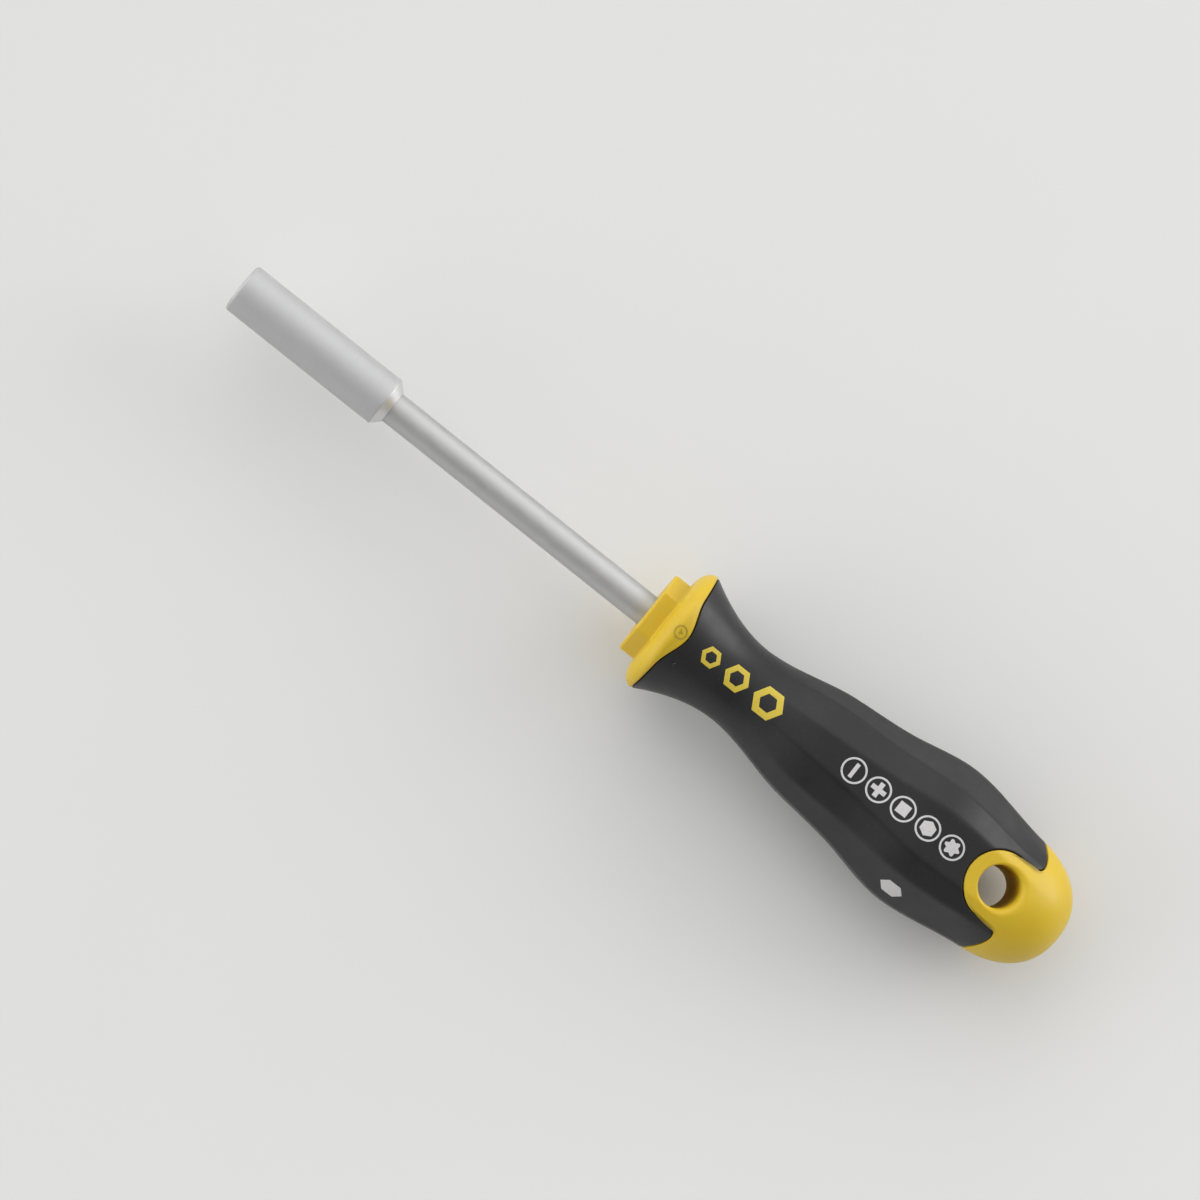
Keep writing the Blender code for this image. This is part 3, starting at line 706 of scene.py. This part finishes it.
def cross(length, width):
    """Outline of a cross of two equal bars."""
    a, b = length / 2, width / 2
    corners = ((a, -b), (a, b), (b, b), (b, a), (-b, a), (-b, b),
               (-a, b), (-a, -b), (-b, -b), (-b, -a), (b, -a), (b, -b))
    return sides(corners)


def laid(outline, station, angle, lift, hole=0.0, crown=0.0):
    """A thin layer on the skin: the outline scaled from its middle or hole to its rim, closed below.

    A crown raises it by a parabola that is highest in the middle.
    """
    rim = MARK_RIM / np.abs(outline).max()
    rows = [(hole, MARK_SUNK), (hole + 0.3 * rim, 0.7 * lift)] if hole else [(0.0, lift + crown)]
    for scale in np.linspace(hole + rim if hole else 0.1, 1.0 - rim, 8):
        rows.append((scale, lift + crown * (1.0 - scale * scale)))
    rows += [(1.0 - 0.3 * rim, 0.7 * lift), (1.0, MARK_SUNK)]
    if not hole:
        rows.append((0.0, MARK_SUNK))
    grid = []
    for scale, height in rows:
        at = station + scale * outline[:, 0]
        turn = angle + scale * outline[:, 1] / outline_radius(at)
        grid.append(place(at, skin_radius(at, turn) + height, turn))
    return np.concatenate(grid), grid_quads(len(rows), len(outline), bool(hole), True)


def socket_mark():
    """White hexagon on the lower facet, its corners along the tool."""
    layer = laid(regular(6, SOCKET_MARK_REACH), SOCKET_MARK_AT, SOCKET_MARK_ANGLE, INK)
    return mesh_object("socket_mark", *layer, sharp=MARK_EDGE)


def drive_marks():
    """Row of drive shapes in rings: slot, cross, square, hexagon and six-lobed star."""
    slot = bar(3.2 * MM, 0.8 * MM)
    crossed = cross(3.2 * MM, 1.0 * MM)
    square = regular(4, 1.75 * MM, math.radians(45))
    hexagon = regular(6, 1.7 * MM, math.radians(30))
    star = lobed(1.75 * MM, 0.30, 6)
    parts = []
    for number, shape in enumerate((slot, crossed, square, hexagon, star)):
        station = DRIVE_FIRST + DRIVE_STEP * number
        parts.append(laid(lobed(DRIVE_RING, 0.0, 1), station, 0.0, INK, hole=DRIVE_RING_HOLE))
        parts.append(laid(shape, station, 0.0, INK))
    return mesh_object("drive_marks", *gathered(parts), sharp=MARK_EDGE)


def size_marks():
    """Three hexagon rings along the neck, growing towards the belly."""
    parts = []
    for station, reach in SIZE_MARKS:
        parts.append(laid(regular(6, reach), station, 0.0, INK, hole=SIZE_MARK_HOLE))
    return mesh_object("size_marks", *gathered(parts), sharp=MARK_EDGE)


def mould_mark():
    """Raised ring and pointer on the flange, left by the mould, darkened with painted shade through the
    seam value.
    """
    # Painted shade: a fixed seam value darkens the ring and pointer like the shade of their relief
    painted_shade = 0.8
    ring = laid(lobed(MOULD_RING, 0.0, 1), MOULD_MARK_AT, 0.0, MOULD_RING_LIFT, hole=MOULD_RING_HOLE)
    pointer = laid(regular(3, POINTER_REACH), MOULD_MARK_AT, 0.0, POINTER_LIFT)
    points, quads = gathered([ring, pointer])
    fields = {"seam": np.full(len(points), painted_shade)}
    return mesh_object("mould_mark", points, quads, fields=fields, sharp=MARK_EDGE)


def gate_mark():
    """Small round nub on the grip where its plastic was let into the mould."""
    nub = laid(lobed(GATE_REACH, 0.0, 1), GATE_AT, GATE_ANGLE, GATE_LIFT, crown=GATE_CROWN)
    return mesh_object("gate_mark", *nub)


# Finishes

class Paint:
    """A node material with a Principled shader and short calls for its textures."""

    def __init__(self, name, coordinates="Object"):
        self.made = bpy.data.materials.new(name)
        self.made.use_nodes = True
        self.nodes = self.made.node_tree.nodes
        self.links = self.made.node_tree.links
        self.shader = self.nodes["Principled BSDF"]
        self.where = self.nodes.new("ShaderNodeTexCoord").outputs[coordinates]

    def feed(self, node, **values):
        """Node inputs by name, fixed or linked; an underscore stands for a space."""
        for name, value in values.items():
            socket = node.inputs[name.replace("_", " ")]
            if isinstance(value, bpy.types.NodeSocket):
                self.links.new(value, socket)
            else:
                socket.default_value = value
        return node

    def scaled(self, scale):
        """Coordinates stretched by three factors."""
        node = self.nodes.new("ShaderNodeMapping")
        return self.feed(node, Vector=self.where, Scale=scale).outputs["Vector"]

    def noise(self, scale, detail=3.0, rough=0.55, stretch=None):
        """Noise value with so many grains in a metre, or in each stretched unit."""
        node = self.nodes.new("ShaderNodeTexNoise")
        vector = self.where if stretch is None else self.scaled(stretch)
        self.feed(node, Vector=vector, Scale=scale, Detail=detail, Roughness=rough)
        return node.outputs["Fac"]

    def range(self, value, low, high, start=0.3, stop=0.7):
        """Value stretched from start..stop to low..high."""
        node = self.nodes.new("ShaderNodeMapRange")
        self.feed(node, Value=value, From_Min=start, From_Max=stop, To_Min=low, To_Max=high)
        return node.outputs["Result"]

    def blend(self, share, low, high):
        """Colour between two colours, each a socket or a fixed colour."""
        node = self.nodes.new("ShaderNodeMix")
        node.data_type = "RGBA"
        self.links.new(share, node.inputs[0])
        for socket, colour in ((node.inputs[6], low), (node.inputs[7], high)):
            if isinstance(colour, tuple):
                socket.default_value = (*colour, 1.0)
            else:
                self.links.new(colour, socket)
        return node.outputs[2]

    def reckon(self, operation, first, second=0.0):
        """Two values put together by a named operation."""
        node = self.nodes.new("ShaderNodeMath")
        node.operation = operation
        for socket, value in zip(node.inputs, (first, second)):
            if isinstance(value, bpy.types.NodeSocket):
                self.links.new(value, socket)
            else:
                socket.default_value = value
        return node.outputs[0]

    def attribute(self, name):
        """A value stored on the mesh."""
        node = self.nodes.new("ShaderNodeAttribute")
        node.attribute_name = name
        return node.outputs["Fac"]

    def axis(self, name):
        """One of the coordinates."""
        node = self.nodes.new("ShaderNodeSeparateXYZ")
        self.links.new(self.where, node.inputs[0])
        return node.outputs[name]

    def parting_line(self):
        """1 on the mould's parting plane, falling to 0 within a tenth of a millimetre."""
        return self.range(self.reckon("ABSOLUTE", self.axis("Z")), 1.0, 0.0, 0.0, 0.1 * MM)

    def bump(self, height, distance, strength=1.0, before=None):
        """Bump of a real height in metres, on top of another if there is one."""
        node = self.nodes.new("ShaderNodeBump")
        self.feed(node, Height=height, Distance=distance, Strength=strength)
        if before is not None:
            self.links.new(before, node.inputs["Normal"])
        return node.outputs["Normal"]

    def done(self, **values):
        """The material, with these shader inputs."""
        self.feed(self.shader, **values)
        return self.made


def yellow_plastic():
    """Satin yellow moulding: slow colour drift, fine grain, painted shade along the grip's edge, a
    parting line.

    The wall of the hanging hole is rougher than the rest.
    """
    paint = Paint("yellow_plastic")
    drift = paint.range(paint.noise(55.0, 2.0), 0.0, 1.0)
    colour = paint.blend(drift, (0.580, 0.388, 0.0085), (0.635, 0.438, 0.0125))
    smudge = paint.range(paint.noise(420.0, 4.0), 0.0, 0.5, 0.62, 0.80)
    colour = paint.blend(smudge, colour, (0.54, 0.355, 0.012))
    # Painted shade: the seam value darkens the yellow where it meets the grip's edges, and on the mould
    # mark
    painted_shade = paint.range(paint.attribute("seam"), 0.0, 0.8, 0.45, 1.0)
    colour = paint.blend(painted_shade, colour, (0.20, 0.13, 0.010))
    bore = paint.reckon("MULTIPLY", paint.attribute("bore"), 0.8)
    rough = paint.reckon("MAXIMUM", paint.range(paint.noise(160.0, 4.0), 0.38, 0.50), bore)
    grain = paint.bump(paint.noise(3600.0, 2.0), 0.008 * MM, 0.6)
    grain = paint.bump(paint.parting_line(), 0.02 * MM, 0.6, grain)
    return paint.done(Base_Color=colour, Roughness=rough, Normal=grain, IOR=1.49,
                      Subsurface_Weight=0.20, Subsurface_Radius=(1.0, 0.45, 0.06),
                      Subsurface_Scale=0.0020)


def soft_black():
    """Soft-touch black: charcoal with dusty grain, rubbed smoother in patches, paler at its edges."""
    paint = Paint("soft_black")
    drift = paint.range(paint.noise(70.0), 0.0, 1.0)
    colour = paint.blend(drift, (0.0062, 0.0062, 0.0070), (0.0102, 0.0100, 0.0106))
    dust = paint.range(paint.noise(2600.0, 3.0, 0.6), 0.0, 0.6, 0.60, 0.80)
    colour = paint.blend(dust, colour, (0.048, 0.047, 0.047))
    worn = paint.range(paint.attribute("seam"), 0.0, 0.35, 0.5, 1.0)
    colour = paint.blend(worn, colour, (0.035, 0.033, 0.030))
    rough = paint.range(paint.noise(240.0, 4.0), 0.34, 0.46)
    grain = paint.bump(paint.noise(4200.0), 0.012 * MM, 0.8)
    grain = paint.bump(paint.parting_line(), 0.02 * MM, 0.5, grain)
    return paint.done(Base_Color=colour, Roughness=rough, Normal=grain,
                      IOR=1.50, Specular_IOR_Level=0.42)


def satin_steel(name, tone, low, high, stretch, polish_and_highlight_end=0.0):
    """Satin plated steel: fine lines, cloudy gloss, dull marks; the start of its profile may have a
    polish and a lighter tone, which is a painted highlight.
    """
    paint = Paint(name, "UV")
    lines = paint.noise(1.0, 3.0, 0.6, stretch)
    cloud = paint.noise(9.0, 4.0)
    rough = paint.range(paint.reckon("ADD", lines, cloud), low, high, 0.7, 1.3)
    shade = paint.blend(paint.range(cloud, 0.0, 1.0), tuple(0.94 * c for c in tone), tone)
    marks = paint.range(paint.noise(1.0, 2.0, 0.5, (46.0, 90.0, 1.0)), 0.0, 0.6, 0.70, 0.80)
    shade = paint.blend(marks, shade, tuple(0.84 * c for c in tone))
    if polish_and_highlight_end:
        # Smoother start of the profile, with a lighter tone there as a painted highlight
        polish_and_highlight = paint.range(paint.axis("Y"), 1.0, 0.0, polish_and_highlight_end, polish_and_highlight_end + 0.004)
        shade = paint.blend(polish_and_highlight, shade, tuple(1.25 * c for c in tone))
        rough = paint.reckon("SUBTRACT", rough, paint.reckon("MULTIPLY", polish_and_highlight, low - 0.34))
    grain = paint.bump(lines, 0.002 * MM, 0.5)
    return paint.done(Base_Color=shade, Roughness=rough, Metallic=1.0, Normal=grain)


def ink(name, fresh, worn_tone):
    """Print that lets the grip's grain show through where it is worn."""
    paint = Paint(name)
    worn = paint.range(paint.noise(2400.0, 4.0, 0.65), 0.0, 1.0, 0.60, 0.74)
    colour = paint.blend(worn, fresh, worn_tone)
    grain = paint.bump(paint.noise(4200.0), 0.010 * MM, 0.7)
    rough = paint.range(worn, 0.45, 0.65, 0.0, 1.0)
    return paint.done(Base_Color=colour, Roughness=rough, Normal=grain)


def core_plastic():
    """Grey moulding of the hidden core, with flow streaks along it."""
    paint = Paint("core_plastic")
    streaks = paint.noise(1.0, 3.0, 0.6, (60.0, 500.0, 500.0))
    colour = paint.blend(paint.range(streaks, 0.0, 1.0), (0.25, 0.25, 0.26), (0.34, 0.34, 0.35))
    return paint.done(Base_Color=colour, Roughness=paint.range(streaks, 0.45, 0.6))


def dress(piece, finish, slot, *nodes, body="tool"):
    """Puts the finish on a piece, has it ride on its body and hides the solids it takes the place of.
    """
    piece.data.materials.clear()
    piece.data.materials.append(finish)
    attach(piece, body)
    if nodes:
        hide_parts(*nodes)


# Floor, light and camera

def floor(low):
    """A plain pale floor under the tool."""
    reach, count = 4.0, 9
    line = np.linspace(-reach, reach, count)
    x, y = np.meshgrid(line, line, indexing="ij")
    points = np.stack((x, y, np.full_like(x, low)), -1).reshape(-1, 3)
    made = mesh_object("floor", points, grid_quads(count, count))
    paint = Paint("floor_paper")
    drift = paint.range(paint.noise(12.0), 0.0, 1.0)
    tone = paint.blend(drift, (0.726, 0.726, 0.719), (0.734, 0.734, 0.727))
    made.data.materials.append(paint.done(Base_Color=tone, Roughness=0.9, Specular_IOR_Level=0.1))
    if made.data.polygons[0].normal.z < 0:
        made.data.flip_normals()


def surround():
    """Studio surround, the same all round but for five lobes.

    It is darker overhead towards +Y and behind the end; a broad glow ahead of the tip, a low sheen off
    the end towards -Y and a low fill off the tip towards +Y are added. A lobe's stops pair how closely
    a direction faces its middle with the level there.
    """
    world = bpy.data.worlds.new("surround")
    bpy.context.scene.world = world
    world.use_nodes = True
    nodes, links = world.node_tree.nodes, world.node_tree.links
    where = nodes.new("ShaderNodeTexCoord").outputs["Generated"]

    def lobe(direction, stops):
        """Light level between the stops, by the cosine of the angle to the lobe's middle."""
        facing = nodes.new("ShaderNodeVectorMath")
        facing.operation = "DOT_PRODUCT"
        facing.inputs[1].default_value = Vector(direction).normalized()
        links.new(where, facing.inputs[0])
        ramp = nodes.new("ShaderNodeValToRGB")
        links.new(facing.outputs["Value"], ramp.inputs["Fac"])
        elements = ramp.color_ramp.elements
        while len(elements) < len(stops):
            elements.new(0.5)
        for element, (spot, level) in zip(elements, stops):
            element.position = spot
            element.color = (level, level, level, 1.0)
        return ramp.outputs["Color"]

    def joined(operation, first, second):
        """Two levels put together by a named operation."""
        node = nodes.new("ShaderNodeVectorMath")
        node.operation = operation
        links.new(first, node.inputs[0])
        links.new(second, node.inputs[1])
        return node.outputs["Vector"]

    dark_stops = ((0.0, 1.16), (0.17, 1.12), (0.57, 0.96), (0.82, 0.56), (0.94, 0.30), (1.0, 0.25))
    dark = lobe((0.0, 0.616, 0.788), dark_stops)
    behind = lobe((-1.0, 0.10, 0.15), ((0.0, 1.0), (0.55, 1.0), (0.85, 0.50), (1.0, 0.35)))
    glow = lobe((0.75, -0.50, 0.43), ((0.0, 0.0), (0.70, 0.0), (0.84, 0.42), (0.96, 0.85)))
    sheen = lobe((-0.62, -0.77, 0.12), ((0.0, 0.0), (0.88, 0.0), (0.96, 1.00), (1.0, 1.80)))
    fill = lobe((0.83, 0.54, 0.14), ((0.0, 0.0), (0.74, 0.0), (0.86, 0.72), (0.96, 1.80)))
    level = joined("MULTIPLY", dark, behind)
    for added in (glow, sheen, fill):
        level = joined("ADD", level, added)
    links.new(level, nodes["Background"].inputs["Color"])


def lamp(name, spot, target, size, power):
    """A square soft lamp at a spot, aimed at a target."""
    light = bpy.data.lights.new(name, "AREA")
    light.shape = "SQUARE"
    light.size = size
    light.energy = power
    made = bpy.data.objects.new(name, light)
    bpy.context.scene.collection.objects.link(made)
    made.location = spot
    made.rotation_euler = (Vector(target) - Vector(spot)).to_track_quat("-Z", "Y").to_euler()


def camera():
    """Camera almost straight above the tool, turned so that the tip points up and to the left."""
    lens = bpy.data.cameras.new("camera")
    made = bpy.data.objects.new("camera", lens)
    bpy.context.scene.collection.objects.link(made)
    bpy.context.scene.camera = made
    distance, picture, pixels_per_metre = 1.10, 1200.0, 5190.0
    lens.sensor_width = 36.0
    lens.lens = lens.sensor_width * pixels_per_metre * distance / picture
    lens.clip_start = 0.01
    lean_ahead, lean_aside = math.radians(1.1), math.radians(3.5)
    target = Vector((COLLAR_FACE + 8.48 * MM, 4.06 * MM, 0.0))
    back = Vector((math.tan(lean_ahead), math.tan(lean_aside), 1.0)).normalized()
    tip = (Vector((1.0, 0.0, 0.0)) - back * back.x).normalized()
    side = back.cross(tip)
    down = math.radians(38.60)
    right = -math.cos(down) * tip - math.sin(down) * side
    turn = Matrix((right, back.cross(right), back)).transposed()
    made.matrix_world = Matrix.Translation(target + distance * back) @ turn.to_4x4()


def main():
    """Builds every piece, then the stage."""
    yellow = yellow_plastic()
    black = soft_black()
    white_ink = ink("white_ink", (0.54, 0.53, 0.53), (0.30, 0.29, 0.29))
    yellow_ink = ink("yellow_ink", (0.58, 0.44, 0.040), (0.32, 0.24, 0.028))
    # The sleeve's tail cone is smoother and carries a painted highlight in its colour
    matt = satin_steel("sleeve_steel_satin", (0.56, 0.56, 0.562), 0.64, 0.76, (6.0, 240.0, 1.0),
                       polish_and_highlight_end=0.074)
    bright = satin_steel("blade_steel_satin", (0.52, 0.52, 0.517), 0.50, 0.60, (160.0, 5.0, 1.0))
    nickel = satin_steel("magnet_nickel", (0.50, 0.48, 0.45), 0.22, 0.38, (6.0, 120.0, 1.0))
    wire = satin_steel("spring_wire_drawn", (0.40, 0.40, 0.41), 0.25, 0.40, (40.0, 4.0, 1.0))
    dress(shell_body(), yellow, "shell_plastic", "handle_shell")
    dress(grip_body(), black, "grip_rubber", "soft_grip")
    dress(blade_body(), bright, "blade_steel", "blade")
    dress(sleeve_body(), matt, "sleeve_steel", "bit_sleeve")
    dress(magnet_body(), nickel, "magnet", "seat_magnet")
    dress(ring_body(), wire, "spring_wire", "retaining_ring", body="ring")
    dress(socket_mark(), white_ink, "grip_rubber")
    dress(drive_marks(), white_ink, "grip_rubber")
    dress(size_marks(), yellow_ink, "shell_plastic")
    dress(mould_mark(), yellow, "shell_plastic")
    dress(gate_mark(), black, "grip_rubber")
    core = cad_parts["inner_core"]
    core.data.materials.clear()
    core.data.materials.append(core_plastic())
    floor(CAD_BOX[0].z - 0.02 * MM)
    surround()
    lamp("key", spot=(-0.98, -1.12, 0.40), target=(-0.12, 0.0, 0.0), size=0.9, power=6.2)
    camera()
    bpy.context.scene.view_settings.view_transform = "Standard"


main()
